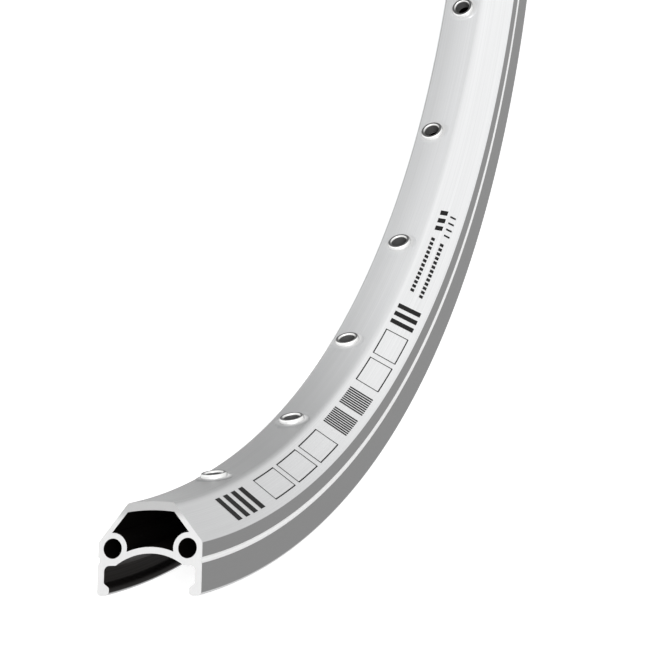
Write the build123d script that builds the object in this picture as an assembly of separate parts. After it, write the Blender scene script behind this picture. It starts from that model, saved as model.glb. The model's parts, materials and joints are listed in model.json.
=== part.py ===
# A sawn length of double-wall alloy bicycle rim with its riveted spoke eyelets.
# The wheel's axis is parallel to Z, so the length lies flat on one brake wall.
# Every section is drawn in the plane (r, z): r from the wheel's axis, z across the rim.
import os
from math import cos, degrees, floor, hypot, radians, sin, tan

from build123d import *

# Tyre channel, millimetres
BEAD_SEAT_DIAMETER = 559.0
INNER_WIDTH = 19.0
FLANGE_HEIGHT = 6.5
SIDE_WALL = 1.6
HOOK_REACH = 1.3
HOOK_TIP_HEIGHT = 1.7
HOOK_ROOT_HEIGHT = 2.7
HOOK_EDGE_RADIUS = 0.95
HOOK_TOP_RADIUS = 0.7
HOOK_ROOT_RADIUS = 0.5
FLANGE_EDGE_RADIUS = 0.9
BEAD_SEAT_RADIUS = 1.2

# Brake walls and flanks
SIDE_HEIGHT = 11.5
FLANK_HEIGHT = 8.5
BED_WIDTH = 10.8
BED_CROWN = 0.3
BED_EDGE_RADIUS = 1.0
SIDE_EDGE_RADIUS = 1.2
GROOVE_FROM_EDGE = 7.6
GROOVE_DEPTH = 0.5
GROOVE_RADIUS = 0.7

# Walls round the chamber
BED_WALL = 1.9
ROOF_CROWN = 0.4
FLANK_WALL = 1.15
BRIDGE_WALL = 1.4
BRIDGE_RISE = 2.6
BRIDGE_RADIUS = 13.9
PORT_DIAMETER = 4.4
PORT_WALL = 1.2
PORT_SIDE_WALL = 1.3
PORT_SEAT_WALL = 1.5

# Spoke drilling, with the bed pressed up a little round each hole
HOLES_IN_WHEEL = 36
HOLE_STAGGER = 0.6
ACCESS_HOLE_DIAMETER = 8.0
BOSS_HEIGHT = 0.25
BOSS_ROOT = 0.2
BOSS_MARGIN = 0.3
BOSS_SLOPE = 35.0

# Sawn length, centred on +Y: the near end is sawn a little off square, the far end square
MIDDLE_ANGLE = 90.0
ARC_ANGLE = 72.0
FIRST_HOLE_ANGLE = 8.0
END_MARGIN = 8.0
SAW_LEAN = 9.6
SAW_SKEW = 1.4

# Eyelet, a tubular rivet
EYELET_BORE = 4.2
EYELET_WALL = 0.4
COLLAR_DIAMETER = 6.2
COLLAR_HEIGHT = 0.9
COLLAR_EDGE = 0.35
FLARE_DIAMETER = 6.2
FLARE_HEIGHT = 0.6
EYELET_CLEARANCE = 0.03

# Radii and half widths that follow
bead_seat_r = BEAD_SEAT_DIAMETER / 2
outer_r = bead_seat_r + FLANGE_HEIGHT
side_r = outer_r - SIDE_HEIGHT
bed_edge_r = side_r - FLANK_HEIGHT
bed_crown_r = bed_edge_r - BED_CROWN
roof_r = bed_crown_r + BED_WALL
bridge_r = bead_seat_r - BRIDGE_RISE
port_outer_radius = PORT_DIAMETER / 2 + PORT_WALL
port_r = bead_seat_r - PORT_SEAT_WALL - PORT_DIAMETER / 2
mouth_z = INNER_WIDTH / 2
channel_z = mouth_z + HOOK_REACH
side_z = channel_z + SIDE_WALL
port_z = side_z - PORT_SIDE_WALL - PORT_DIAMETER / 2
bed_z = BED_WIDTH / 2
bridge_centre_r = bridge_r + BRIDGE_RADIUS
middle_r = (outer_r + bed_crown_r) / 2

# Angles about the wheel's axis
start_angle = MIDDLE_ANGLE - ARC_ANGLE / 2
hole_pitch = 360 / HOLES_IN_WHEEL
last_hole_limit = ARC_ANGLE - FIRST_HOLE_ANGLE - degrees(END_MARGIN / bed_crown_r)
hole_count = floor(last_hole_limit / hole_pitch) + 1
hole_angles = [start_angle + FIRST_HOLE_ANGLE + i * hole_pitch for i in range(hole_count)]
hole_offsets = [HOLE_STAGGER if i % 2 else -HOLE_STAGGER for i in range(hole_count)]


def nearest(face, r, z):
    """The two corners of a drawn face that lie nearest to (r, +z) and (r, -z)."""
    return [
        min(face.vertices(), key=lambda v: hypot(v.X - r, v.Y - side * z))
        for side in (1, -1)
    ]


def both_sides(points):
    """Points listed for +z, followed by their mirror images in reverse order."""
    return points + [(r, -z) for r, z in reversed(points)]


def port_circles(radius):
    return Sketch() + [Pos(port_r, side * port_z) * Circle(radius) for side in (1, -1)]


def outline():
    """Outer shape: crowned spoke bed, sloping flanks and upright brake walls."""
    crown = ThreePointArc((bed_edge_r, -bed_z), (bed_crown_r, 0), (bed_edge_r, bed_z))
    rest = Polyline(both_sides([(bed_edge_r, bed_z), (side_r, side_z), (outer_r, side_z)]))
    face = make_face([crown, rest])
    face = fillet(nearest(face, bed_edge_r, bed_z), BED_EDGE_RADIUS)
    face = fillet(nearest(face, side_r, side_z), SIDE_EDGE_RADIUS)
    return fillet(nearest(face, outer_r, side_z), FLANGE_EDGE_RADIUS)


def chamber():
    """Closed space between the spoke bed, the flanks, the ports and the bridge."""
    slope = hypot(FLANK_HEIGHT, side_z - bed_z)
    flank_r = FLANK_HEIGHT / slope
    flank_z = (side_z - bed_z) / slope
    roof_edge_r = roof_r + ROOF_CROWN
    roof_edge_z = bed_z + (roof_edge_r - bed_edge_r) * flank_z / flank_r - FLANK_WALL / flank_r
    # Foot of the perpendicular from the port's centre to the flank's inner face
    along = (port_r - roof_edge_r) * flank_r + (port_z - roof_edge_z) * flank_z
    foot = (roof_edge_r + along * flank_r, roof_edge_z + along * flank_z)
    floor_r = port_r + port_outer_radius / 2
    roof = ThreePointArc((roof_edge_r, -roof_edge_z), (roof_r, 0), (roof_edge_r, roof_edge_z))
    rest = Polyline(both_sides([(roof_edge_r, roof_edge_z), foot, (floor_r, port_z)]))
    bridge_top = Pos(bridge_centre_r, 0) * Circle(BRIDGE_RADIUS + BRIDGE_WALL)
    return make_face([roof, rest]) - bridge_top - port_circles(port_outer_radius)


def tyre_channel():
    """Open space for the tyre: bead seats, arched well and the undercut behind the hooks."""
    open_r = outer_r + FLANGE_HEIGHT
    hook_tip_r = outer_r - HOOK_TIP_HEIGHT
    hook_root_r = outer_r - HOOK_ROOT_HEIGHT
    face = make_face(Polyline(both_sides([
        (bead_seat_r, channel_z),
        (hook_root_r, channel_z),
        (hook_tip_r, mouth_z),
        (open_r, mouth_z),
    ]), close=True))
    face = fillet(nearest(face, bead_seat_r, channel_z), BEAD_SEAT_RADIUS)
    face = fillet(nearest(face, hook_root_r, channel_z), HOOK_ROOT_RADIUS)
    face = fillet(nearest(face, hook_tip_r, mouth_z), HOOK_TOP_RADIUS)
    well = Pos(bridge_centre_r, 0) * Circle(BRIDGE_RADIUS)
    between_ports = Pos(bead_seat_r, 0) * Rectangle(2 * BRIDGE_RISE, 2 * port_z)
    return face + (well & between_ports) - port_circles(port_outer_radius)


def section():
    """The extruded section, with wear grooves in both brake walls."""
    face = outline() - chamber() - tyre_channel() - port_circles(PORT_DIAMETER / 2)
    groove_z = side_z - GROOVE_DEPTH + GROOVE_RADIUS
    for side in (1, -1):
        face -= Pos(outer_r - GROOVE_FROM_EDGE, side * groove_z) * Circle(GROOVE_RADIUS)
    return fillet(nearest(face, outer_r, mouth_z), HOOK_EDGE_RADIUS)


def section_plane(angle):
    """Plane through the wheel's axis, with local x along r and local y along z."""
    a = radians(angle)
    return Plane(origin=(0, 0, 0), x_dir=(cos(a), sin(a), 0), z_dir=(sin(a), -cos(a), 0))


def hole_frame(index):
    """Frame of one spoke hole on the wheel's axis, its local z pointing outwards."""
    a = radians(hole_angles[index])
    return Plane(
        origin=(0, 0, hole_offsets[index]),
        x_dir=(-sin(a), cos(a), 0),
        z_dir=(cos(a), sin(a), 0),
    )


def drum(diameter, low_r, high_r):
    """A cutter along a hole's own axis, between two distances from the wheel's axis."""
    return Pos(0, 0, low_r) * Cylinder(
        diameter / 2, high_r - low_r, align=(Align.CENTER, Align.CENTER, Align.MIN)
    )


# Where the eyelet seats: on the boss outside, and where the arched bed meets its hole inside
outer_seat_r = bed_crown_r - BOSS_HEIGHT
barrel_radius = EYELET_BORE / 2 + EYELET_WALL
hole_radius = barrel_radius + EYELET_CLEARANCE
arch_rise = ROOF_CROWN * ((HOLE_STAGGER + hole_radius) / bed_z) ** 2
inner_seat_r = roof_r + arch_rise
inner_end_r = inner_seat_r + FLARE_HEIGHT


def boss():
    """Bed pressed up round a hole: a low cone with a flat top for the eyelet's collar."""
    height = BOSS_HEIGHT + BED_CROWN + BOSS_ROOT
    top_radius = COLLAR_DIAMETER / 2 + BOSS_MARGIN
    foot_radius = top_radius + height / tan(radians(BOSS_SLOPE))
    seat_first = (Align.CENTER, Align.CENTER, Align.MIN)
    return Pos(0, 0, outer_seat_r) * Cone(top_radius, foot_radius, height, align=seat_first)


def hole_cutters():
    """The rivet hole through the bed and the wider access hole in the bridge."""
    chamber_r = inner_end_r + BED_WALL
    rivet_hole = drum(2 * hole_radius, outer_seat_r - COLLAR_HEIGHT, chamber_r)
    access_hole = drum(ACCESS_HOLE_DIAMETER, chamber_r, bridge_r + BRIDGE_RISE)
    return [rivet_hole, access_hole]


def rim_length():
    """The section swept about the wheel's axis, sawn at the near end, pressed and drilled."""
    lean = tan(radians(SAW_LEAN))
    skew = tan(radians(SAW_SKEW))
    overhang = lean * (outer_r - bed_crown_r) + skew * side_z
    spare_angle = degrees(overhang / bed_crown_r)
    drawn = section_plane(start_angle - spare_angle) * section()
    swept = revolve(drawn, Axis.Z, revolution_arc=ARC_ANGLE + spare_angle)
    a = radians(start_angle)
    out = Vector(cos(a), sin(a), 0)
    along = Vector(-sin(a), cos(a), 0)
    saw_cut = Plane(origin=out * middle_r, z_dir=along + out * lean - Vector(0, 0, skew))
    sawn = split(swept, bisect_by=saw_cut, keep=Keep.TOP)
    for i in range(hole_count):
        place = hole_frame(i).location
        sawn += place * boss()
        for tool in hole_cutters():
            sawn -= place * tool
    return sawn


def eyelet():
    """Tubular rivet on its hole's axis: edged collar, barrel and flared inner end."""
    bore = EYELET_BORE / 2
    collar = COLLAR_DIAMETER / 2
    flare = FLARE_DIAMETER / 2
    top_r = outer_seat_r - COLLAR_HEIGHT
    half = make_face(Polyline(
        (bore, top_r + COLLAR_EDGE),
        (bore + COLLAR_EDGE, top_r),
        (collar - COLLAR_EDGE, top_r),
        (collar, top_r + COLLAR_EDGE),
        (collar, outer_seat_r),
        (barrel_radius, outer_seat_r),
        (barrel_radius, inner_seat_r),
        (flare, inner_end_r),
        (flare - EYELET_WALL, inner_end_r),
        (bore, inner_seat_r),
        close=True,
    ))
    return revolve(Plane.XZ * half, Axis.Z)


os.makedirs("parts", exist_ok=True)

rim = rim_length()
box = rim.bounding_box()
to_floor = Pos(-box.center().X, -box.center().Y, -box.min.Z)
export_step(to_floor * rim, "parts/rim.step")

rivet = eyelet()
for i in range(hole_count):
    export_step(to_floor * hole_frame(i).location * rivet, f"parts/eyelet_{i + 1}.step")
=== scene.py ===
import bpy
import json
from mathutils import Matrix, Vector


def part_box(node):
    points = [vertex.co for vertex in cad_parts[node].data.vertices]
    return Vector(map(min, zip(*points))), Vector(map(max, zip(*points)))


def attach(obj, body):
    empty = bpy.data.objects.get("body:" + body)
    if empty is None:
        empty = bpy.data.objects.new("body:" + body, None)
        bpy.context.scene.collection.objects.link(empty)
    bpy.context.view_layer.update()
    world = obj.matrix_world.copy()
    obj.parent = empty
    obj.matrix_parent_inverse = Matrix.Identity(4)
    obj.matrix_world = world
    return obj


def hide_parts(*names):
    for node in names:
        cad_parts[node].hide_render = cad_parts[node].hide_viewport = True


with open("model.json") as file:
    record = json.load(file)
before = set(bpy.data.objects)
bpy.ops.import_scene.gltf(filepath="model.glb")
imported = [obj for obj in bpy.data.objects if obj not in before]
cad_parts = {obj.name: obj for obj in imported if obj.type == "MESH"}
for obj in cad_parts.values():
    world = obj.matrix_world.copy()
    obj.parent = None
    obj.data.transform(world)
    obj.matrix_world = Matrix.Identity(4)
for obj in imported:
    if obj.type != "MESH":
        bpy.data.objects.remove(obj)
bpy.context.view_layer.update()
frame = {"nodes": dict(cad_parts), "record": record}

import json
from math import atan2, cos, degrees, hypot, pi, radians, sin, sqrt, tan

import bmesh
import bpy
from mathutils import Matrix, Vector

# The rim: one extruded aluminium profile with two walls, rolled into an arc and sawn to length.
# The bed is pressed up round each spoke hole and drilled through both walls. It is anodised
# silver, its two brake walls are machined afterwards, and the sawn ends are left bare.
MM = 0.001

# Its section in millimetres: radii from the wheel's axis and half widths from the mid-plane
BED_RADIUS = 266.0
BED_CROWN = 0.3
BED_HALF_WIDTH = 5.4
BED_ROUND = 1.0
SIDE_RADIUS = 274.5
SIDE_HALF_WIDTH = 12.4
SIDE_ROUND = 1.2
GROOVE_RADIUS = 278.4
GROOVE_DEPTH = 0.5
GROOVE_ROUND = 0.7
FLANGE_RADIUS = 286.0
FLANGE_ROUND = 0.9
HOOK_EDGE_ROUND = 0.95
HOOK_TIP_RADIUS = 284.3
HOOK_TIP_ROUND = 0.7
HOOK_ROOT_RADIUS = 283.3
HOOK_ROOT_ROUND = 0.5
MOUTH_HALF_WIDTH = 9.5
CHANNEL_HALF_WIDTH = 10.8
SEAT_RADIUS = 279.5
SEAT_ROUND = 1.2
BRIDGE_RADIUS = 276.9
BRIDGE_ROUND = 13.9
BRIDGE_WALL = 1.4
ROOF_RADIUS = 267.6
ROOF_CROWN = 0.4
FLANK_WALL = 1.15
PORT_RADIUS = 275.8
PORT_HALF_WIDTH = 8.9
PORT_ROUND = 2.2
PORT_WALL = 1.2
SUPPORT_GAP = 0.08

# Steps on the round stretches of its outlines
ROUND_STEPS = 6
CROWN_STEPS = 8
GROOVE_STEPS = 5
WELL_STEPS = 14
ROOF_STEPS = 6
PORT_WALL_STEPS = 14
BRIDGE_STEPS = 8
PORT_STEPS = 32

# Its length in degrees about the wheel's axis, and the slopes of the saw cut
ARC_ANGLE = 72
NEAR_MARGIN = 8
SAW_LEAN = tan(radians(9.6))
SAW_SKEW = tan(radians(1.4))

# How finely it is rolled, how close two points are one, and from what angle an edge is sharp
ROLL_STEPS = 145
MERGE_DISTANCE = 0.001
RIM_SHARP_ANGLE = 32

# Drilling: one hole in ten degrees, to either side of the mid-plane by turns, through a patch
# of the bed that is pressed up first
HOLE_PITCH = 10
HOLE_STAGGER = 0.6
HOLE_RADIUS = 2.53
ACCESS_RADIUS = 4.0
CHAMBER_MIDDLE = 270.2
DRILL_START = 262.0
DRILL_GAP = 0.01
PRESSED_HEIGHT = 0.25
PRESSED_FLAT = 3.2
PRESSED_FOOT = 4.9
PRESSED_DROP = 0.8
PRESSED_ROOT = 0.4
PRESSED_STEPS = 8
TURNED_STEPS = 72

bed_top = BED_RADIUS - BED_CROWN
pressed_top = bed_top - PRESSED_HEIGHT
flank_run = SIDE_RADIUS - BED_RADIUS
flank_rise = SIDE_HALF_WIDTH - BED_HALF_WIDTH
holes = [mount for mount in frame["record"]["mounts"] if mount["name"].startswith("spoke_hole")]
rim_low, rim_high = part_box("rim")
rim_middle_z = (rim_low.z + rim_high.z) / 2


def wheel_axis():
    """Where the axes of the first and last spoke holes cross, seen along the wheel's axis."""
    first, last = holes[0], holes[-1]
    p = Vector(first["pos_m"][:2])
    q = Vector(last["pos_m"][:2])
    d = Vector(first["axis"][:2])
    e = Vector(last["axis"][:2])
    across = d.x * e.y - d.y * e.x
    t = ((q - p).x * e.y - (q - p).y * e.x) / across
    return p + d * t


axis_x, axis_y = wheel_axis()
first_axis = holes[0]["axis"]
first_hole_angle = degrees(atan2(first_axis[1], first_axis[0]))
near_end_angle = first_hole_angle - NEAR_MARGIN


def arc(centre, start, end, steps):
    """Points from start to end round a centre, the short way, with both ends."""
    centre, start, end = Vector(centre), Vector(start), Vector(end)
    reach = (start - centre).length
    first = atan2(start.y - centre.y, start.x - centre.x)
    turn = atan2(end.y - centre.y, end.x - centre.x) - first
    turn = (turn + pi) % (2 * pi) - pi
    angles = [first + turn * k / steps for k in range(steps + 1)]
    return [centre + reach * Vector((cos(a), sin(a))) for a in angles]


def rounded(before, corner, after, radius):
    """A rounded corner, with one more point close to each end that keeps the flats flat."""
    corner = Vector(corner)
    back = (Vector(before) - corner).normalized()
    on = (Vector(after) - corner).normalized()
    half = back.angle(on) / 2
    reach = radius / tan(half)
    centre = corner + (back + on).normalized() * radius / sin(half)
    start, end = corner + back * reach, corner + on * reach
    bend = arc(centre, start, end, ROUND_STEPS)
    return [start + back * SUPPORT_GAP] + bend + [end + on * SUPPORT_GAP]


def both_sides(half):
    """Half an outline, from mid-plane to mid-plane, followed by its mirror image."""
    return half + [Vector((p.x, -p.y)) for p in reversed(half[1:-1])]


def outer_outline():
    """Spoke bed, flank, brake wall with its wear groove, hook, bead seat and arched well."""
    bed_edge = (BED_RADIUS, BED_HALF_WIDTH)
    flank_end = (SIDE_RADIUS, SIDE_HALF_WIDTH)
    flange_edge = (FLANGE_RADIUS, SIDE_HALF_WIDTH)
    hook_edge = (FLANGE_RADIUS, MOUTH_HALF_WIDTH)
    hook_tip = (HOOK_TIP_RADIUS, MOUTH_HALF_WIDTH)
    hook_root = (HOOK_ROOT_RADIUS, CHANNEL_HALF_WIDTH)
    seat_corner = (SEAT_RADIUS, CHANNEL_HALF_WIDTH)
    crown_round = (BED_HALF_WIDTH ** 2 + BED_CROWN ** 2) / (2 * BED_CROWN)
    # The crown's last two points are left out, where the bed's rounded edge begins
    crown = arc((bed_top + crown_round, 0), (bed_top, 0), bed_edge, CROWN_STEPS)[:-2]
    groove_rise = GROOVE_ROUND - GROOVE_DEPTH
    groove_half = sqrt(GROOVE_ROUND ** 2 - groove_rise ** 2)
    groove_centre = (GROOVE_RADIUS, SIDE_HALF_WIDTH + groove_rise)
    groove_floor = (GROOVE_RADIUS, SIDE_HALF_WIDTH - GROOVE_DEPTH)
    groove_start = (GROOVE_RADIUS - groove_half, SIDE_HALF_WIDTH)
    groove_end = (GROOVE_RADIUS + groove_half, SIDE_HALF_WIDTH)
    well_centre = (BRIDGE_RADIUS + BRIDGE_ROUND, 0)
    well_edge = (SEAT_RADIUS, sqrt(BRIDGE_ROUND ** 2 - (well_centre[0] - SEAT_RADIUS) ** 2))
    half = crown
    half += rounded(crown[-1], bed_edge, flank_end, BED_ROUND)
    half += rounded(bed_edge, flank_end, flange_edge, SIDE_ROUND)
    half += arc(groove_centre, groove_start, groove_floor, GROOVE_STEPS)[:-1]
    half += arc(groove_centre, groove_floor, groove_end, GROOVE_STEPS)
    half += rounded(flank_end, flange_edge, hook_edge, FLANGE_ROUND)
    half += rounded(flange_edge, hook_edge, hook_tip, HOOK_EDGE_ROUND)
    half += rounded(hook_edge, hook_tip, hook_root, HOOK_TIP_ROUND)
    half += rounded(hook_tip, hook_root, seat_corner, HOOK_ROOT_ROUND)
    half += rounded(hook_root, seat_corner, well_edge, SEAT_ROUND)
    half += arc(well_centre, well_edge, (BRIDGE_RADIUS, 0), WELL_STEPS)
    return both_sides(half)


def chamber_outline():
    """Closed space between the spoke bed, the flanks, the ports' walls and the bridge."""
    flank = Vector((flank_run, flank_rise)).normalized()
    edge_r = ROOF_RADIUS + ROOF_CROWN
    edge_z = BED_HALF_WIDTH + (edge_r - BED_RADIUS) * flank.y / flank.x - FLANK_WALL / flank.x
    edge = Vector((edge_r, edge_z))
    roof_round = (edge_z ** 2 + ROOF_CROWN ** 2) / (2 * ROOF_CROWN)
    port = Vector((PORT_RADIUS, PORT_HALF_WIDTH))
    port_reach = PORT_ROUND + PORT_WALL
    along = (port - edge).dot(flank)
    aside = (port - edge - flank * along).length
    meets_port = edge + flank * (along - sqrt(port_reach ** 2 - aside ** 2))
    bridge = Vector((BRIDGE_RADIUS + BRIDGE_ROUND, 0))
    bridge_reach = BRIDGE_ROUND + BRIDGE_WALL
    apart = bridge - port
    share = (port_reach ** 2 - bridge_reach ** 2 + apart.length_squared) / (2 * apart.length)
    toward = apart.normalized()
    crossing = sqrt(port_reach ** 2 - share ** 2)
    meets_bridge = port + toward * share + Vector((toward.y, -toward.x)) * crossing
    half = arc((ROOF_RADIUS + roof_round, 0), (ROOF_RADIUS, 0), edge, ROOF_STEPS)
    half += arc(port, meets_port, meets_bridge, PORT_WALL_STEPS)
    half += arc(bridge, meets_bridge, (bridge.x - bridge_reach, 0), BRIDGE_STEPS)[1:]
    return both_sides(half)


def port_outline(side):
    """One of the two round ports that take the pins of a rim joint."""
    turns = [2 * pi * k / PORT_STEPS for k in range(PORT_STEPS)]
    centre = Vector((PORT_RADIUS, side * PORT_HALF_WIDTH))
    return [centre + PORT_ROUND * Vector((cos(a), sin(a))) for a in turns]


def placed(name, data):
    """A new object in the scene, at the origin."""
    thing = bpy.data.objects.new(name, data)
    bpy.context.scene.collection.objects.link(thing)
    return thing


def rim_section():
    """The four outlines as curves: round the metal one way, and round its hollows the other."""
    drawn = bpy.data.curves.new("rim_section", "CURVE")
    drawn.dimensions = "3D"
    hollows = [chamber_outline(), port_outline(1), port_outline(-1)]
    for points, way in [(outer_outline(), -1)] + [(hollow, 1) for hollow in hollows]:
        turned_area = sum(p.x * q.y - q.x * p.y for p, q in zip(points, points[1:] + points[:1]))
        if turned_area * way < 0:
            points = points[::-1]
        spline = drawn.splines.new("POLY")
        spline.points.add(len(points) - 1)
        spline.use_cyclic_u = True
        for place, p in zip(spline.points, points):
            place.co = (p.x * MM, p.y * MM, 0, 1)
    return placed("rim_section", drawn)


def turned(name, *half_sections):
    """Solids of revolution about local Z, each from a closed half section (radius, height)."""
    turns = [2 * pi * k / TURNED_STEPS for k in range(TURNED_STEPS)]
    mesh = bpy.data.meshes.new(name)
    work = bmesh.new()
    for points in half_sections:
        rings = []
        for r, z in points:
            if r == 0:
                rings.append([work.verts.new((0, 0, z * MM))] * TURNED_STEPS)
            else:
                circle = [(r * MM * cos(a), r * MM * sin(a), z * MM) for a in turns]
                rings.append([work.verts.new(spot) for spot in circle])
        for ring, following in zip(rings, rings[1:] + rings[:1]):
            for k in range(TURNED_STEPS):
                n = (k + 1) % TURNED_STEPS
                corners = list(dict.fromkeys((ring[k], ring[n], following[n], following[k])))
                if len(corners) > 2:
                    work.faces.new(corners)
    bmesh.ops.recalc_face_normals(work, faces=work.faces)
    work.to_mesh(mesh)
    work.free()
    return bpy.data.objects.new(name, mesh)


def geometry_tree(name, **inputs):
    """A Geometry Nodes tree that takes and gives a geometry, with more inputs by their kind."""
    tree = bpy.data.node_groups.new(name, "GeometryNodeTree")
    for way in ("INPUT", "OUTPUT"):
        tree.interface.new_socket("Geometry", in_out=way, socket_type="NodeSocketGeometry")
    for kind, sockets in inputs.items():
        for socket in sockets:
            tree.interface.new_socket(socket, in_out="INPUT", socket_type="NodeSocket" + kind)
    return tree


def made_with(tree, name, values, start=None):
    """Runs a Geometry Nodes tree with its inputs set, and keeps the result as a plain mesh."""
    carrier = placed(name, start or bpy.data.meshes.new(name))
    modifier = carrier.modifiers.new(name, "NODES")
    modifier.node_group = tree
    for item in tree.interface.items_tree:
        if item.in_out == "INPUT" and item.name in values:
            modifier[item.identifier] = values[item.name]
    bpy.context.view_layer.update()
    evaluated = carrier.evaluated_get(bpy.context.evaluated_depsgraph_get())
    mesh = bpy.data.meshes.new_from_object(evaluated)
    bpy.data.objects.remove(carrier)
    return placed(name, mesh)


def node_tools(nodes, link):
    """Short forms for the Math and Combine XYZ nodes, which take numbers or other nodes."""

    def filled(node, values):
        for socket, value in zip(node.inputs, values):
            if isinstance(value, (int, float)):
                socket.default_value = value
            else:
                link(value, socket)
        return node.outputs[0]

    def calc(operation, a, b=0.0):
        node = nodes.new("ShaderNodeMath")
        node.operation = operation
        return filled(node, (a, b))

    def vector(x, y, z):
        return filled(nodes.new("ShaderNodeCombineXYZ"), (x, y, z))

    return calc, vector


def named_attribute(nodes, name, kind):
    """Geometry Nodes: what the attribute of this name holds."""
    node = nodes.new("GeometryNodeInputNamedAttribute")
    node.data_type = kind
    node.inputs["Name"].default_value = name
    return node.outputs["Attribute"]


def on_holes_tree():
    """Geometry Nodes: a pattern on every spoke hole, turned on to the hole's own axis."""
    tree = geometry_tree("on_spoke_holes", Object=["Pattern"], Material=["Finish", "Bore Painted Shade"])
    nodes, link = tree.nodes, tree.links.new
    given = nodes.new("NodeGroupInput")
    out = nodes.new("NodeGroupOutput")
    pattern = nodes.new("GeometryNodeObjectInfo")
    link(given.outputs["Pattern"], pattern.inputs["Object"])
    align = nodes.new("FunctionNodeAlignRotationToVector")
    align.axis = "Z"
    link(named_attribute(nodes, "hole_axis", "FLOAT_VECTOR"), align.inputs["Vector"])
    onto = nodes.new("GeometryNodeInstanceOnPoints")
    link(given.outputs["Geometry"], onto.inputs["Points"])
    link(pattern.outputs["Geometry"], onto.inputs["Instance"])
    link(align.outputs["Rotation"], onto.inputs["Rotation"])
    real = nodes.new("GeometryNodeRealizeInstances")
    link(onto.outputs["Instances"], real.inputs["Geometry"])
    finish = nodes.new("GeometryNodeSetMaterial")
    link(real.outputs["Geometry"], finish.inputs["Geometry"])
    link(given.outputs["Finish"], finish.inputs["Material"])
    bore_shade = nodes.new("GeometryNodeSetMaterial")
    link(finish.outputs["Geometry"], bore_shade.inputs["Geometry"])
    link(named_attribute(nodes, "in_bore", "BOOLEAN"), bore_shade.inputs["Selection"])
    link(given.outputs["Bore Painted Shade"], bore_shade.inputs["Material"])
    link(bore_shade.outputs["Geometry"], out.inputs["Geometry"])
    return tree


holes_tree = on_holes_tree()


def on_spoke_holes(name, pattern, finishes=()):
    """Copies of a pattern, drawn along +Z from the wheel's axis, on all the spoke holes."""
    seats = bpy.data.meshes.new(name)
    seats.from_pydata([(axis_x, axis_y, hole["pos_m"][2]) for hole in holes], [], [])
    axes = seats.attributes.new("hole_axis", "FLOAT_VECTOR", "POINT")
    for seat, hole in zip(axes.data, holes):
        seat.vector = hole["axis"]
    piece = made_with(holes_tree, name, {"Pattern": pattern, **dict(finishes)}, seats)
    bpy.data.objects.remove(pattern)
    return piece


def pressed_bosses():
    """The bed pressed up round each hole: a flat seat with a soft shoulder down to the bed."""
    root = pressed_top + PRESSED_DROP + PRESSED_ROOT
    half = [(0, pressed_top)]
    for k in range(PRESSED_STEPS + 1):
        share = k / PRESSED_STEPS
        reach = PRESSED_FLAT + (PRESSED_FOOT - PRESSED_FLAT) * share
        half.append((reach, pressed_top + PRESSED_DROP * share * share))
    half += [(PRESSED_FOOT, root), (0, root)]
    return on_spoke_holes("pressed_bosses", turned("boss", half))


def drill(radius, start, end):
    """Half section of what one drill takes out."""
    return [(0, start), (radius, start), (radius, end), (0, end)]


def spoke_drills():
    """What the drills take out: the rivet hole in the bed and the access hole in the bridge."""
    rivet_hole = drill(HOLE_RADIUS, DRILL_START, CHAMBER_MIDDLE)
    access_hole = drill(ACCESS_RADIUS, CHAMBER_MIDDLE + DRILL_GAP, SEAT_RADIUS)
    return on_spoke_holes("spoke_drills", turned("drill", rivet_hole, access_hole))


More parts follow.
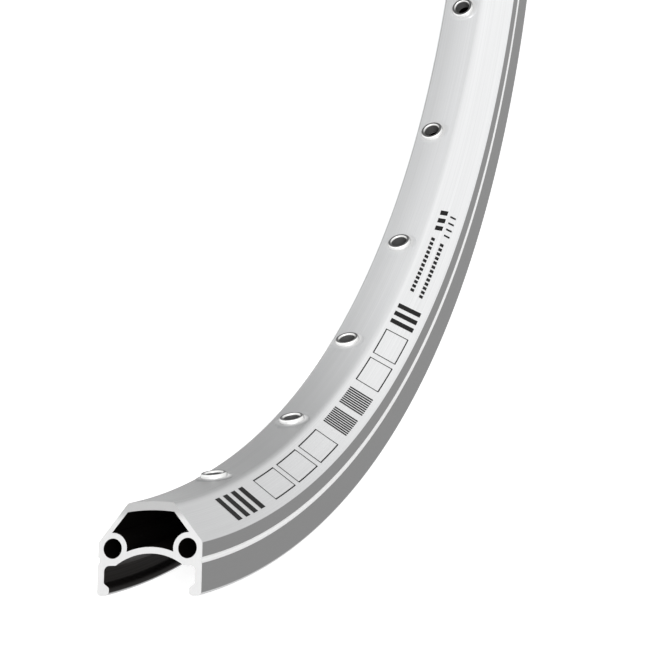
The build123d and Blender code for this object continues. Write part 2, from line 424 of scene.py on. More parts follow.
def rim_tree():
    """Geometry Nodes: the section run out straight, capped, rolled, pressed and drilled."""
    tree = geometry_tree(
        "rolled_rim",
        Object=["Section", "Bosses", "Drills"],
        Int=["Steps"],
        Float=["Near Angle", "Far Angle", "Saw Lean", "Saw Skew", "Saw Radius"],
        Material=["Finish"],
    )
    nodes, link = tree.nodes, tree.links.new
    calc, vector = node_tools(nodes, link)
    given = nodes.new("NodeGroupInput")
    out = nodes.new("NodeGroupOutput")
    here = nodes.new("GeometryNodeInputPosition").outputs["Position"]

    def shape_of(name):
        node = nodes.new("GeometryNodeObjectInfo")
        link(given.outputs[name], node.inputs["Object"])
        return node.outputs["Geometry"]

    def stored(geometry, name, kind, value):
        node = nodes.new("GeometryNodeStoreNamedAttribute")
        node.data_type = kind
        node.inputs["Name"].default_value = name
        link(geometry, node.inputs["Geometry"])
        if isinstance(value, float):
            node.inputs["Value"].default_value = value
        else:
            link(value, node.inputs["Value"])
        return node.outputs["Geometry"]

    # The straight length: the section along a line, and the section filled in at both ends
    section = stored(shape_of("Section"), "section_place", "FLOAT_VECTOR", here)
    line = nodes.new("GeometryNodeCurvePrimitiveLine")
    line.inputs["End"].default_value = (1, 0, 0)
    steps = nodes.new("GeometryNodeResampleCurve")
    link(line.outputs["Curve"], steps.inputs["Curve"])
    link(given.outputs["Steps"], steps.inputs["Count"])
    factor = nodes.new("GeometryNodeSplineParameter").outputs["Factor"]
    sweep = nodes.new("GeometryNodeCurveToMesh")
    link(stored(steps.outputs["Curve"], "along", "FLOAT", factor), sweep.inputs["Curve"])
    link(section, sweep.inputs["Profile Curve"])
    cap = nodes.new("GeometryNodeFillCurve")
    link(section, cap.inputs["Curve"])
    capped = stored(cap.outputs["Mesh"], "section_place", "FLOAT_VECTOR", here)
    near_cap = stored(capped, "along", "FLOAT", 0.0)
    far_cap = nodes.new("GeometryNodeFlipFaces")
    link(stored(capped, "along", "FLOAT", 1.0), far_cap.inputs["Mesh"])
    join = nodes.new("GeometryNodeJoinGeometry")
    for part in (sweep.outputs["Mesh"], near_cap, far_cap.outputs["Mesh"]):
        link(part, join.inputs["Geometry"])

    # Rolled about the wheel's axis, each line of the section from the saw cut to the far end
    place = nodes.new("ShaderNodeSeparateXYZ")
    link(named_attribute(nodes, "section_place", "FLOAT_VECTOR"), place.inputs[0])
    along = named_attribute(nodes, "along", "FLOAT")
    radius, height = place.outputs["X"], place.outputs["Y"]
    lean, skew = given.outputs["Saw Lean"], given.outputs["Saw Skew"]
    cut_at_middle = calc("MULTIPLY", lean, given.outputs["Saw Radius"])
    cut = calc("ADD", cut_at_middle, calc("MULTIPLY", skew, height))
    slant = calc("SQRT", calc("ADD", calc("MULTIPLY", lean, lean), 1.0))
    cut_turn = calc("ARCSINE", calc("DIVIDE", cut, calc("MULTIPLY", radius, slant)))
    lean_turn = calc("SUBTRACT", cut_turn, calc("ARCTANGENT", lean))
    near_turn = calc("ADD", given.outputs["Near Angle"], lean_turn)
    rest = calc("SUBTRACT", given.outputs["Far Angle"], near_turn)
    turn = calc("ADD", calc("MULTIPLY", rest, along), near_turn)
    x = calc("ADD", calc("MULTIPLY", radius, calc("COSINE", turn)), axis_x)
    y = calc("ADD", calc("MULTIPLY", radius, calc("SINE", turn)), axis_y)
    rolled = nodes.new("GeometryNodeSetPosition")
    link(join.outputs["Geometry"], rolled.inputs["Geometry"])
    link(vector(x, y, calc("ADD", height, rim_middle_z)), rolled.inputs["Position"])
    merged = nodes.new("GeometryNodeMergeByDistance")
    merged.inputs["Distance"].default_value = MERGE_DISTANCE * MM
    link(rolled.outputs["Geometry"], merged.inputs["Geometry"])

    # Pressed up and drilled
    pressed = nodes.new("GeometryNodeMeshBoolean")
    pressed.operation = "UNION"
    pressed.solver = "MANIFOLD"
    link(merged.outputs["Geometry"], pressed.inputs["Mesh 2"])
    link(shape_of("Bosses"), pressed.inputs["Mesh 2"])
    drilled = nodes.new("GeometryNodeMeshBoolean")
    drilled.operation = "DIFFERENCE"
    drilled.solver = "MANIFOLD"
    link(pressed.outputs["Mesh"], drilled.inputs["Mesh 1"])
    link(shape_of("Drills"), drilled.inputs["Mesh 2"])
    real = nodes.new("GeometryNodeRealizeInstances")
    link(drilled.outputs["Mesh"], real.inputs["Geometry"])
    finish = nodes.new("GeometryNodeSetMaterial")
    link(real.outputs["Geometry"], finish.inputs["Geometry"])
    link(given.outputs["Finish"], finish.inputs["Material"])
    link(finish.outputs["Geometry"], out.inputs["Geometry"])
    return tree


def rolled_rim(finish):
    """The rim as a plain mesh, from its section, its bosses, its drills and its sizes."""
    tools = {"Section": rim_section(), "Bosses": pressed_bosses(), "Drills": spoke_drills()}
    near_angle = radians(near_end_angle)
    values = {
        **tools,
        "Steps": ROLL_STEPS,
        "Near Angle": near_angle,
        "Far Angle": near_angle + radians(ARC_ANGLE),
        "Saw Lean": SAW_LEAN,
        "Saw Skew": SAW_SKEW,
        "Saw Radius": (FLANGE_RADIUS + bed_top) / 2 * MM,
        "Finish": finish,
    }
    piece = made_with(rim_tree(), "rolled_rim", values)
    for tool in tools.values():
        bpy.data.objects.remove(tool)
    piece.data.shade_smooth()
    piece.data.set_sharp_from_angle(angle=radians(RIM_SHARP_ANGLE))
    return piece


# The colours of its finish
FLANK_SILVER = (0.87, 0.875, 0.88, 1)
# The wear groove, painted bright as a highlight
GROOVE_HIGHLIGHT_SILVER = (0.88, 0.88, 0.88, 1)
# The bed: the flank's silver, painted darker as shade
BED_SHADED_SILVER = (0.55, 0.555, 0.56, 1)
# A painted dark reflection along the bed's lower edge
BED_EDGE_DARK_REFLECTION = (0.22, 0.22, 0.22, 1)
# The pressed patches round the holes, painted bright as a highlight
PRESSED_HIGHLIGHT_SILVER = (0.62, 0.62, 0.62, 1)
# The machined brake walls: the same silver, painted darker grey as shade and dark reflections
BRAKE_WALL_SHADED_GREY = (0.21, 0.21, 0.21, 1)
SAWN_SILVER = (0.62, 0.62, 0.62, 1)
SAWN_BED_SILVER = (0.41, 0.41, 0.41, 1)
# The open inside, painted near black as shade
INSIDE_PAINTED_SHADE = (0.012, 0.010, 0.009, 1)

# Where one finish fades into the next, in millimetres from the size that each is used with
WALL_FADE = (-0.06, -0.02)
FLANK_FADE = (-0.7, 1.0)
GROOVE_FADE = (0.8, 1.0)
INSIDE_BED_FADE = (0.9, 1.1)
INSIDE_WALL_FADE = (-1.1, -0.9)
INSIDE_FLANK_FADE = (-1.0, -0.8)
INSIDE_FLANGE_FADE = (-0.8, -0.3)
PATCH_FADE = (3.4, 4.4)
PATCH_DEPTH_FADE = (0.2, 0.6)
EDGE_LINE_INSET = 0.15
EDGE_LINE_FADE = (0.12, 0.3)
EDGE_LINE_DEPTH_FADE = (1.0, 0.4)
SAWN_BED_FADE = (1.6, 4)

# How squarely a face looks along the rim where it begins to count as sawn, and where it does
SAWN_FACING = (0.7, 0.8)

# Painted shade on the bed, its pressed patches and the flank, darker towards the near end and to
# one
# side: from one angle on the wheel, or one height over the middle, to another
BED_SHADE_ANGLES = (62, 92)
BED_SHADE = (0.35, 1.05)
BED_SHADE_HEIGHTS = (-5, 5)
BED_SHADE_ACROSS = (0.88, 1.12)
FLANK_SHADE_ANGLES = (54, 86)
FLANK_SHADE = (0.72, 1.0)
PATCH_SHADE_HEIGHTS = (-2.0, 1.5)
PATCH_SHADE = (0.25, 1)

# Extrusion lines and saw marks: their fineness along and across, and what they do
LINES_ACROSS = 6
LINES_ALONG = 0.05
LINES_DETAIL = 4.0
LINES_RANGE = (0.3, 0.7)
LINES_SHADE = (0.94, 1.03)
SAW_ACROSS = 9
SAW_ALONG = 0.25
SAW_DETAIL = 3.0
SAW_RANGE = (0.35, 0.65)
SAW_SHARE = (0, 0.12)

# How metallic, rough and uneven its surface is
SILVER_METAL = 0.6
SILVER_ROUGH_RANGE = (0.2, 0.8)
SILVER_ROUGHNESS = (0.34, 0.44)
SAWN_ROUGHER = 0.1
INSIDE_ROUGHER = 0.25
RELIEF_STRENGTH = 0.15
RELIEF_DEPTH = 0.02


def rim_place_group():
    """Shader group that gives a point's radius, height over the middle and angle on the wheel."""
    group = bpy.data.node_groups.new("rim_place", "ShaderNodeTree")
    for name in ("Radius", "Height", "Angle"):
        group.interface.new_socket(name, in_out="OUTPUT", socket_type="NodeSocketFloat")
    for name, value in (("Axis X", axis_x), ("Axis Y", axis_y), ("Middle Z", rim_middle_z)):
        socket = group.interface.new_socket(name, in_out="INPUT", socket_type="NodeSocketFloat")
        socket.default_value = value
    nodes, link = group.nodes, group.links.new
    calc, vector = node_tools(nodes, link)
    given = nodes.new("NodeGroupInput")
    out = nodes.new("NodeGroupOutput")
    place = nodes.new("ShaderNodeTexCoord")
    split = nodes.new("ShaderNodeSeparateXYZ")
    link(place.outputs["Object"], split.inputs[0])
    x = calc("SUBTRACT", split.outputs["X"], given.outputs["Axis X"])
    y = calc("SUBTRACT", split.outputs["Y"], given.outputs["Axis Y"])
    length = nodes.new("ShaderNodeVectorMath")
    length.operation = "LENGTH"
    link(vector(x, y, 0.0), length.inputs[0])
    link(length.outputs["Value"], out.inputs["Radius"])
    link(calc("SUBTRACT", split.outputs["Z"], given.outputs["Middle Z"]), out.inputs["Height"])
    link(calc("ARCTAN2", y, x), out.inputs["Angle"])
    return group


rim_place = rim_place_group()


def new_finish(name):
    """A new material and its shader."""
    material = bpy.data.materials.new(name)
    material.use_nodes = True
    return material, material.node_tree.nodes["Principled BSDF"]


# The sockets of a Mix node that mixes colours
MIX_A = 6
MIX_B = 7
MIX_RESULT = 2


def finish_tools(nodes, link):
    """Short forms for a soft ramp over a value and for a mix of two colours."""

    def ramp(value, low, high, first=0, last=1):
        node = nodes.new("ShaderNodeMapRange")
        node.interpolation_type = "SMOOTHSTEP"
        link(value, node.inputs["Value"])
        limits = {"From Min": low, "From Max": high, "To Min": first, "To Max": last}
        for name, number in limits.items():
            node.inputs[name].default_value = number
        return node.outputs["Result"]

    def mixed(factor, a, b, kind="MIX"):
        node = nodes.new("ShaderNodeMix")
        node.data_type = "RGBA"
        node.blend_type = kind
        sockets = (node.inputs["Factor"], node.inputs[MIX_A], node.inputs[MIX_B])
        for socket, value in zip(sockets, (factor, a, b)):
            if isinstance(value, (tuple, int, float)):
                socket.default_value = value
            else:
                link(value, socket)
        return node.outputs[MIX_RESULT]

    return ramp, mixed


def silver_rim():
    """Anodised silver with masks for the machined brake walls, the bare ends and the inside, and
    with painted shade, dark reflections and highlights.
    """
    material, surface = new_finish("silver_rim")
    nodes, link = material.node_tree.nodes, material.node_tree.links.new
    calc, vector = node_tools(nodes, link)
    ramp, mixed = finish_tools(nodes, link)
    place = nodes.new("ShaderNodeGroup")
    place.node_tree = rim_place

    def past(value, edge, fade, first=0, last=1):
        return ramp(value, edge + fade[0], edge + fade[1], first, last)

    def toned(colour, tone):
        grey = nodes.new("ShaderNodeCombineColor")
        for name in ("Red", "Green", "Blue"):
            link(tone, grey.inputs[name])
        return mixed(1.0, colour, grey.outputs[0], "MULTIPLY")

    def noise(where, detail):
        node = nodes.new("ShaderNodeTexNoise")
        node.inputs["Scale"].default_value = 1.0
        node.inputs["Detail"].default_value = detail
        link(where, node.inputs["Vector"])
        return node.outputs["Fac"]

    wheel_turn = place.outputs["Angle"]
    radius = calc("DIVIDE", place.outputs["Radius"], MM)
    across = calc("DIVIDE", place.outputs["Height"], MM)
    height = calc("ABSOLUTE", across)
    angle = calc("DEGREES", wheel_turn)

    # Bare sawn ends: faces that look along the rim
    normal = nodes.new("ShaderNodeNewGeometry").outputs["True Normal"]
    tangent = vector(calc("MULTIPLY", calc("SINE", wheel_turn), -1), calc("COSINE", wheel_turn), 0)
    facing = nodes.new("ShaderNodeVectorMath")
    facing.operation = "DOT_PRODUCT"
    link(normal, facing.inputs[0])
    link(tangent, facing.inputs[1])
    sawn = ramp(calc("ABSOLUTE", facing.outputs["Value"]), *SAWN_FACING)

    # Brake walls, flanks and the inside of the chamber, ports and tyre channel, which is painted
    # near black as shade
    brake_wall = past(height, SIDE_HALF_WIDTH, WALL_FADE)
    flank = past(height, BED_HALF_WIDTH, FLANK_FADE)
    # The painted highlight along the wear groove
    from_groove = calc("ABSOLUTE", calc("SUBTRACT", radius, GROOVE_RADIUS))
    groove = ramp(from_groove, *GROOVE_FADE, 1, 0)
    flank_line = calc("MULTIPLY", calc("SUBTRACT", radius, BED_RADIUS), flank_rise / flank_run)
    past_flank = calc("SUBTRACT", height, calc("ADD", flank_line, BED_HALF_WIDTH))
    inside = past(radius, BED_RADIUS, INSIDE_BED_FADE)
    inside = calc("MULTIPLY", inside, past(height, SIDE_HALF_WIDTH, INSIDE_WALL_FADE, 1, 0))
    inside = calc("MULTIPLY", inside, ramp(past_flank, *INSIDE_FLANK_FADE, 1, 0))
    inside = calc("MULTIPLY", inside, past(radius, FLANGE_RADIUS, INSIDE_FLANGE_FADE, 1, 0))

    # The patch round each spoke hole where the bed is pressed up: a painted highlight, with painted
    # shade towards one side
    turns = calc("DIVIDE", calc("SUBTRACT", angle, first_hole_angle), HOLE_PITCH)
    nearest = calc("ROUND", turns)
    pitch_along = radians(HOLE_PITCH) * BED_RADIUS
    along_arc = calc("MULTIPLY", calc("SUBTRACT", turns, nearest), pitch_along)
    odd = calc("ABSOLUTE", calc("MODULO", nearest, 2))
    stagger = calc("SUBTRACT", calc("MULTIPLY", odd, 2 * HOLE_STAGGER), HOLE_STAGGER)
    beside_hole = calc("SUBTRACT", across, stagger)
    from_hole = calc("ADD", calc("POWER", beside_hole, 2), calc("POWER", along_arc, 2))
    patch_highlight = ramp(calc("SQRT", from_hole), *PATCH_FADE, 1, 0)
    patch_highlight = calc("MULTIPLY", patch_highlight, past(radius, BED_RADIUS, PATCH_DEPTH_FADE, 1, 0))
    patch_highlight = calc("MULTIPLY", patch_highlight, ramp(beside_hole, *PATCH_SHADE_HEIGHTS, *PATCH_SHADE))

    # Extrusion lines run along the rim, saw marks run across the ends
    lines_place = vector(
        calc("MULTIPLY", radius, LINES_ACROSS),
        calc("MULTIPLY", height, LINES_ACROSS),
        calc("MULTIPLY", angle, LINES_ALONG),
    )
    lines = noise(lines_place, LINES_DETAIL)
    saw_place = vector(calc("MULTIPLY", radius, SAW_ALONG), calc("MULTIPLY", across, SAW_ACROSS), 0)
    saw = noise(saw_place, SAW_DETAIL)

    # Colour: the bed, darker as painted shade and with a painted dark reflection on its lower edge,
    # the patches' and the groove's painted highlights, the flank with painted shade, the machined
    # walls painted darker as shade, the inside painted near black as shade, and the ends
    # Painted shade on the bed: darker towards the near end and towards one side
    bed_painted_shade = ramp(angle, *BED_SHADE_ANGLES, *BED_SHADE)
    bed_painted_shade = calc("MULTIPLY", bed_painted_shade, ramp(across, *BED_SHADE_HEIGHTS, *BED_SHADE_ACROSS))
    bed = mixed(patch_highlight, toned(BED_SHADED_SILVER, bed_painted_shade), PRESSED_HIGHLIGHT_SILVER)
    # The painted dark reflection along the bed's lower edge
    from_edge = calc("ABSOLUTE", calc("ADD", across, BED_HALF_WIDTH - EDGE_LINE_INSET))
    painted_edge_reflection = ramp(from_edge, *EDGE_LINE_FADE, 1, 0)
    painted_edge_reflection = calc("MULTIPLY", painted_edge_reflection, past(radius, BED_RADIUS, EDGE_LINE_DEPTH_FADE))
    bed = mixed(painted_edge_reflection, bed, BED_EDGE_DARK_REFLECTION)
    # Painted shade on the flank: darker towards the near end
    side = toned(FLANK_SILVER, ramp(angle, *FLANK_SHADE_ANGLES, *FLANK_SHADE))
    colour = mixed(flank, bed, side)
    colour = mixed(groove, colour, GROOVE_HIGHLIGHT_SILVER)
    colour = mixed(brake_wall, colour, BRAKE_WALL_SHADED_GREY)
    colour = toned(colour, ramp(lines, *LINES_RANGE, *LINES_SHADE))
    colour = mixed(inside, colour, INSIDE_PAINTED_SHADE)
    ends = mixed(past(radius, BED_RADIUS, SAWN_BED_FADE), SAWN_BED_SILVER, SAWN_SILVER)
    ends = mixed(ramp(saw, *SAW_RANGE, *SAW_SHARE), ends, SAWN_BED_SILVER)
    link(mixed(sawn, colour, ends), surface.inputs["Base Color"])

    # The open inside is fully metallic and rougher, and the sawn ends are a little rougher
    open_faces = calc("MULTIPLY", inside, calc("SUBTRACT", 1, sawn))
    metal = calc("ADD", calc("MULTIPLY", open_faces, 1 - SILVER_METAL), SILVER_METAL)
    link(metal, surface.inputs["Metallic"])
    rough = ramp(lines, *SILVER_ROUGH_RANGE, *SILVER_ROUGHNESS)
    rough = calc("ADD", rough, calc("MULTIPLY", sawn, SAWN_ROUGHER))
    rough = calc("ADD", rough, calc("MULTIPLY", open_faces, INSIDE_ROUGHER))
    link(rough, surface.inputs["Roughness"])
    bump = nodes.new("ShaderNodeBump")
    bump.inputs["Strength"].default_value = RELIEF_STRENGTH
    bump.inputs["Distance"].default_value = RELIEF_DEPTH * MM
    link(mixed(sawn, lines, saw), bump.inputs["Height"])
    link(bump.outputs["Normal"], surface.inputs["Normal"])
    return material


rim = rolled_rim(silver_rim())
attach(rim, "root")
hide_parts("rim")

# The eyelets: tubular rivets of nickel-plated brass or steel, one in each spoke hole, pushed in
# from the spoke side and flared over inside the chamber. They spread a spoke's pull over the bed.
EYELET_BORE_RADIUS = 2.1
EYELET_WALL = 0.4
COLLAR_RADIUS = 3.1
COLLAR_HEIGHT = 0.9
COLLAR_EDGE_SHARE = 0.45
FLARE_HEIGHT = 0.6
ROLLED_STEPS = 16
EYELET_SHARP_ANGLE = 40
LIP_HALF_WIDTH = 0.25
BORE_MOUTH_SHARE = 0.3
BORE_SKIN = 0.05
EYELET_SILVER = (0.88, 0.88, 0.87, 1)
# Painted shade on the side of the plate away from the near end, and how it follows the surface's
# facing
EYELET_PAINTED_SHADE = (0.10, 0.10, 0.10, 1)
EYELET_SHADE_FACING = (-0.25, 0.45)
EYELET_SHADE_TILT = 0.35
EYELET_METAL = 0.5
EYELET_ROUGHNESS = 0.5
# A painted dark reflection along the lip
LIP_DARK_REFLECTION = (0.07, 0.07, 0.07, 1)
# Painted shade on the bore's wall
BORE_PAINTED_SHADE = (0.09, 0.09, 0.09, 1)
BORE_ROUGHNESS = 0.5

collar_middle = (EYELET_BORE_RADIUS + COLLAR_RADIUS) / 2


def eyelet_half_section():
    """Points (radius, distance from the wheel's axis): rolled collar, barrel and inner flare."""
    inner_seat = ROOF_RADIUS + ROOF_CROWN * ((HOLE_STAGGER + HOLE_RADIUS) / BED_HALF_WIDTH) ** 2
    half_width = (COLLAR_RADIUS - EYELET_BORE_RADIUS) / 2
    points = []
    for k in range(ROLLED_STEPS + 1):
        a = pi * k / ROLLED_STEPS
        rise = COLLAR_HEIGHT * (COLLAR_EDGE_SHARE + (1 - COLLAR_EDGE_SHARE) * sin(a))
        points.append((collar_middle - half_width * cos(a), pressed_top - rise))
    barrel = EYELET_BORE_RADIUS + EYELET_WALL
    flare = inner_seat + FLARE_HEIGHT
    points += [(COLLAR_RADIUS, pressed_top), (barrel, pressed_top), (barrel, inner_seat)]
    points += [(COLLAR_RADIUS, flare), (COLLAR_RADIUS - EYELET_WALL, flare)]
    return points + [(EYELET_BORE_RADIUS, inner_seat)]


def nickel_plate():
    """Bright plate with painted shade on the side away from the near end and a painted dark
    reflection along the lip.
    """
    material, surface = new_finish("nickel_plate")
    nodes, link = material.node_tree.nodes, material.node_tree.links.new
    calc, vector = node_tools(nodes, link)
    ramp, mixed = finish_tools(nodes, link)
    place = nodes.new("ShaderNodeGroup")
    place.node_tree = rim_place
    wheel_turn = place.outputs["Angle"]
    back_along = calc("MULTIPLY", calc("COSINE", wheel_turn), -1.0)
    normal = nodes.new("ShaderNodeNewGeometry").outputs["Normal"]
    facing = nodes.new("ShaderNodeVectorMath")
    facing.operation = "DOT_PRODUCT"
    link(normal, facing.inputs[0])
    link(vector(calc("SINE", wheel_turn), back_along, EYELET_SHADE_TILT), facing.inputs[1])
    # Painted shade: darker where the surface faces away from the near end
    painted_lit_side = ramp(facing.outputs["Value"], *EYELET_SHADE_FACING)
    lip = nodes.new("ShaderNodeAttribute")
    lip.attribute_name = "lip"
    plate = mixed(painted_lit_side, EYELET_PAINTED_SHADE, EYELET_SILVER)
    # The painted dark reflection along the lip
    link(mixed(lip.outputs["Fac"], plate, LIP_DARK_REFLECTION), surface.inputs["Base Color"])
    surface.inputs["Metallic"].default_value = EYELET_METAL
    surface.inputs["Roughness"].default_value = EYELET_ROUGHNESS
    return material


def painted_bore_shade():
    """Painted shade on the wall of the eyelet's bore."""
    material, surface = new_finish("painted_bore_shade")
    surface.inputs["Base Color"].default_value = BORE_PAINTED_SHADE
    surface.inputs["Roughness"].default_value = BORE_ROUGHNESS
    return material


def riveted_eyelets():
    """One eyelet turned once, with its bore and its lip marked, then set in every spoke hole."""
    pattern = turned("eyelet", eyelet_half_section())
    shape = pattern.data
    mouth = (pressed_top - BORE_MOUTH_SHARE * COLLAR_HEIGHT) * MM
    bore_reach = (EYELET_BORE_RADIUS + BORE_SKIN) * MM
    bore = shape.attributes.new("in_bore", "BOOLEAN", "FACE")
    for face in shape.polygons:
        in_wall = face.center.xy.length < bore_reach
        bore.data[face.index].value = in_wall and face.center.z > mouth
    lip = shape.attributes.new("lip", "FLOAT", "POINT")
    for vert in shape.vertices:
        off_middle = abs(vert.co.xy.length - collar_middle * MM)
        on_lip = off_middle < LIP_HALF_WIDTH * MM and vert.co.z < mouth
        lip.data[vert.index].value = 1.0 if on_lip else 0.0
    finishes = {"Finish": nickel_plate(), "Bore Painted Shade": painted_bore_shade()}
    piece = on_spoke_holes("riveted_eyelets", pattern, finishes)
    piece.data.shade_smooth()
    piece.data.set_sharp_from_angle(angle=radians(EYELET_SHARP_ANGLE))
    return piece


eyelets = riveted_eyelets()
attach(eyelets, "root")
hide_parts(*[name for name in frame["nodes"] if name.startswith("eyelet")])

# The print: black ink on the upper flank, screen printed before the sawing. It is a plain
# band of leaning bars, open frames, hatched blocks, rules and ticks, 0.03 mm over the metal.
PRINT_BLACK = (0.008, 0.008, 0.008, 1)
PRINT_ROUGHNESS = 0.6
PRINT_SPECULAR = 0.15
PRINT_RADIUS = 270
INK_HEIGHT = 0.03
BAND_LOW = 2.2
BAND_HIGH = 9.0
THIN_LINE = 0.32
BAR_LEAN = 0.35
BAR_POINTS_ALONG = 9
BAR_POINTS_UP = 5

flank_length = hypot(flank_run, flank_rise)
flank_out = flank_run / flank_length
flank_up = flank_rise / flank_length


def black_ink():
    """Dull black ink."""
    material, surface = new_finish("black_ink")
    surface.inputs["Base Color"].default_value = PRINT_BLACK
    surface.inputs["Roughness"].default_value = PRINT_ROUGHNESS
    surface.inputs["Specular IOR Level"].default_value = PRINT_SPECULAR
    return material


def bars_on_flank():
    """Geometry Nodes: a row of leaning bars, drawn flat and then wrapped on to the flank."""
    tree = geometry_tree(
        "bars_on_flank",
        Int=["Count"],
        Float=["Start", "Pitch", "Width", "Low", "High", "Lean"],
        Material=["Ink"],
    )
    nodes, link = tree.nodes, tree.links.new
    calc, vector = node_tools(nodes, link)
    given = nodes.new("NodeGroupInput")
    out = nodes.new("NodeGroupOutput")
    low, high = given.outputs["Low"], given.outputs["High"]

    # The row, flat
    row = nodes.new("GeometryNodeMeshLine")
    link(given.outputs["Count"], row.inputs["Count"])
    link(vector(given.outputs["Start"], 0.0, 0.0), row.inputs["Start Location"])
    link(vector(given.outputs["Pitch"], 0.0, 0.0), row.inputs["Offset"])
    bar = nodes.new("GeometryNodeMeshGrid")
    bar.inputs["Vertices X"].default_value = BAR_POINTS_ALONG
    bar.inputs["Vertices Y"].default_value = BAR_POINTS_UP
    link(given.outputs["Width"], bar.inputs["Size X"])
    link(calc("SUBTRACT", high, low), bar.inputs["Size Y"])
    onto = nodes.new("GeometryNodeInstanceOnPoints")
    link(row.outputs["Mesh"], onto.inputs["Points"])
    link(bar.outputs["Mesh"], onto.inputs["Instance"])
    real = nodes.new("GeometryNodeRealizeInstances")
    link(onto.outputs["Instances"], real.inputs["Geometry"])

    # Leaned over, laid on the flank's slope and turned about the wheel's axis
    drawn = nodes.new("GeometryNodeInputPosition")
    parts = nodes.new("ShaderNodeSeparateXYZ")
    link(drawn.outputs["Position"], parts.inputs[0])
    up_bar = parts.outputs["Y"]
    up_flank = calc("ADD", up_bar, calc("MULTIPLY", calc("ADD", low, high), 0.5))
    along = calc("ADD", parts.outputs["X"], calc("MULTIPLY", up_bar, given.outputs["Lean"]))
    turn = calc("ADD", calc("DIVIDE", along, PRINT_RADIUS * MM), radians(near_end_angle))
    foot_r = (BED_RADIUS - INK_HEIGHT * flank_up) * MM
    foot_z = (BED_HALF_WIDTH + INK_HEIGHT * flank_out) * MM
    out_r = calc("ADD", calc("MULTIPLY", up_flank, flank_out), foot_r)
    up_z = calc("ADD", calc("MULTIPLY", up_flank, flank_up), foot_z)
    x = calc("ADD", calc("MULTIPLY", out_r, calc("COSINE", turn)), axis_x)
    y = calc("ADD", calc("MULTIPLY", out_r, calc("SINE", turn)), axis_y)
    wrap = nodes.new("GeometryNodeSetPosition")
    link(real.outputs["Geometry"], wrap.inputs["Geometry"])
    link(vector(x, y, calc("ADD", up_z, rim_middle_z)), wrap.inputs["Position"])
    inked = nodes.new("GeometryNodeSetMaterial")
    link(wrap.outputs["Geometry"], inked.inputs["Geometry"])
    link(given.outputs["Ink"], inked.inputs["Material"])
    link(inked.outputs["Geometry"], out.inputs["Geometry"])
    return tree


ink = black_ink()
bar_tree = bars_on_flank()
printed = []


def print_bars(count, start, pitch, width, low=BAND_LOW, high=BAND_HIGH, lean=BAR_LEAN):
    """Adds a row of bars, in millimetres: start, pitch and width run from the rim's near end."""
    sizes = {"Start": start, "Pitch": pitch, "Width": width, "Low": low, "High": high}
    values = {name: size * MM for name, size in sizes.items()}
    values.update({"Count": count, "Lean": lean, "Ink": ink})
    printed.append(made_with(bar_tree, "printed_bars", values))


def print_frames(count, start, pitch, length):
    """Open frames: two rules and two leaning ends each."""
    shift = BAR_LEAN * (BAND_HIGH - BAND_LOW - THIN_LINE) / 2
    print_bars(count, start + shift, pitch, length, low=BAND_HIGH - THIN_LINE)
    print_bars(count, start - shift, pitch, length, high=BAND_LOW + THIN_LINE)
    for side in (-1, 1):
        print_bars(count, start + side * length / 2, pitch, THIN_LINE)


print_bars(count=4, start=23, pitch=4.4, width=2.4)
print_frames(count=3, start=50, pitch=14.5, length=12)
for start in (91, 103):
    print_bars(count=9, start=start, pitch=1.05, width=0.62)
print_frames(count=2, start=122, pitch=14.5, length=12)
print_bars(count=3, start=147, pitch=3.6, width=1.9)
for low in (3.4, 6.4):
    print_bars(count=13, start=162, pitch=1.9, width=1.2, low=low, high=low + 1.1, lean=0.2)
print_bars(count=3, start=190, pitch=3.2, width=1.8, low=3.4, high=5.6, lean=0.6)
print_bars(count=4, start=189, pitch=2.6, width=0.7, low=6.6, high=8.4, lean=0.2)


def joined_print():
    """All the printed bars as one mesh."""
    work = bmesh.new()
    for bars in printed:
        work.from_mesh(bars.data)
        bpy.data.objects.remove(bars)
    mesh = bpy.data.meshes.new("flank_print")
    work.to_mesh(mesh)
    work.free()
    mesh.materials.append(ink)
    return placed("flank_print", mesh)


flank_print = joined_print()
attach(flank_print, "root")

# The studio: a white floor under the length and a white room that lights it evenly, with one
# large soft lamp behind and above the camera.
FLOOR_SIZE = 8.0
FLOOR_WHITE = (0.85, 0.85, 0.85, 1)
FLOOR_GLOW = 0.6
WHITE = (1, 1, 1, 1)
ROOM_LIGHT = 0.4
ROOM_SEEN = 1.0
LAMP_PLACE = Vector((1.3, -1.1, 0.9))
LAMP_SIZE = 0.9
LAMP_WATTS = 28


def seen_rays(nodes, calc):
    """1 where the camera looks, straight or in a reflection, and 0 for what lights the rim."""
    rays = nodes.new("ShaderNodeLightPath")
    return calc("MAXIMUM", rays.outputs["Is Camera Ray"], rays.outputs["Is Glossy Ray"])


def floor_white():
    """White paper with a glow that only the camera and reflections see."""
    material, surface = new_finish("floor_white")
    nodes, link = material.node_tree.nodes, material.node_tree.links.new
    calc = node_tools(nodes, link)[0]
    surface.inputs["Base Color"].default_value = FLOOR_WHITE
    surface.inputs["Roughness"].default_value = 1.0
    surface.inputs["Specular IOR Level"].default_value = 0.0
    surface.inputs["Emission Color"].default_value = WHITE
    link(calc("MULTIPLY", seen_rays(nodes, calc), FLOOR_GLOW), surface.inputs["Emission Strength"])
    return material


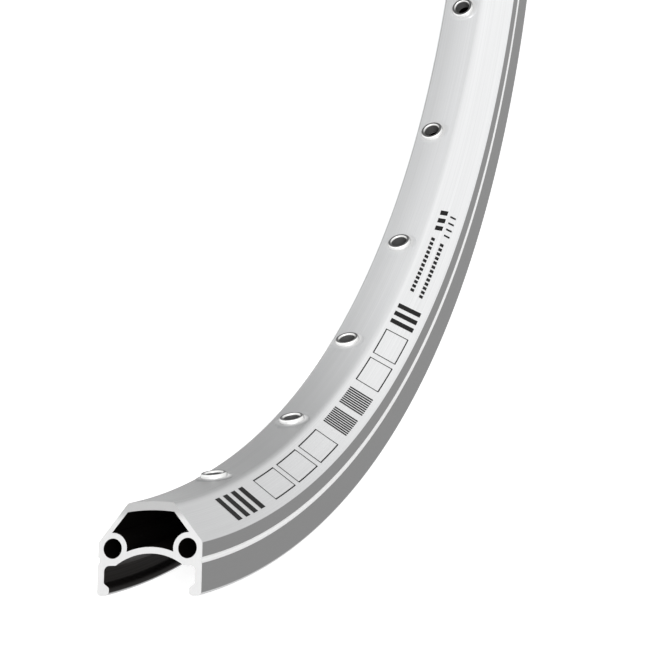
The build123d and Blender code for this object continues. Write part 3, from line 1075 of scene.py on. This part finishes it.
def white_floor():
    """One flat square with its middle at the origin."""
    half = FLOOR_SIZE / 2
    corners = [(-half, -half, 0), (half, -half, 0), (half, half, 0), (-half, half, 0)]
    mesh = bpy.data.meshes.new("studio_floor")
    mesh.from_pydata(corners, [], [(0, 1, 2, 3)])
    mesh.materials.append(floor_white())
    return placed("studio_floor", mesh)


def white_room():
    """The world: full white where it is seen, and a lower level as light on the rim."""
    world = bpy.data.worlds.new("white_room")
    world.use_nodes = True
    nodes, link = world.node_tree.nodes, world.node_tree.links.new
    calc = node_tools(nodes, link)[0]
    level = nodes.new("ShaderNodeMapRange")
    level.inputs["To Min"].default_value = ROOM_LIGHT
    level.inputs["To Max"].default_value = ROOM_SEEN
    link(seen_rays(nodes, calc), level.inputs["Value"])
    link(level.outputs["Result"], nodes["Background"].inputs["Strength"])
    nodes["Background"].inputs["Color"].default_value = WHITE
    return world


floor = white_floor()
bpy.context.scene.world = white_room()

lamp = bpy.data.lights.new("front_softbox", "AREA")
lamp.shape = "SQUARE"
lamp.size = LAMP_SIZE
lamp.energy = LAMP_WATTS
softbox = placed("front_softbox", lamp)
softbox.location = LAMP_PLACE
softbox.rotation_euler = (-LAMP_PLACE).to_track_quat("-Z", "Y").to_euler()

# The camera: where the photograph was taken from, worked out from the rim's edges, its holes
# and its sawn face. It has a long lens and lies on its side: up is to the right in the picture.
CAMERA_PLACE = Vector((0.575334, -0.394618, 0.276210))
PICTURE_RIGHT = Vector((-0.27506, 0.25248, 0.92768))
PICTURE_DOWN = Vector((0.60841, 0.79283, -0.03538))
CAMERA_LENS = 155.2
view_axes = Matrix((PICTURE_RIGHT, -PICTURE_DOWN, -PICTURE_RIGHT.cross(PICTURE_DOWN))).transposed()
camera_data = bpy.data.cameras.new("photo_camera")
camera_data.lens = CAMERA_LENS
camera = placed("photo_camera", camera_data)
camera.matrix_world = Matrix.Translation(CAMERA_PLACE) @ view_axes.to_4x4()
bpy.context.scene.camera = camera
bpy.context.scene.view_settings.view_transform = "Standard"
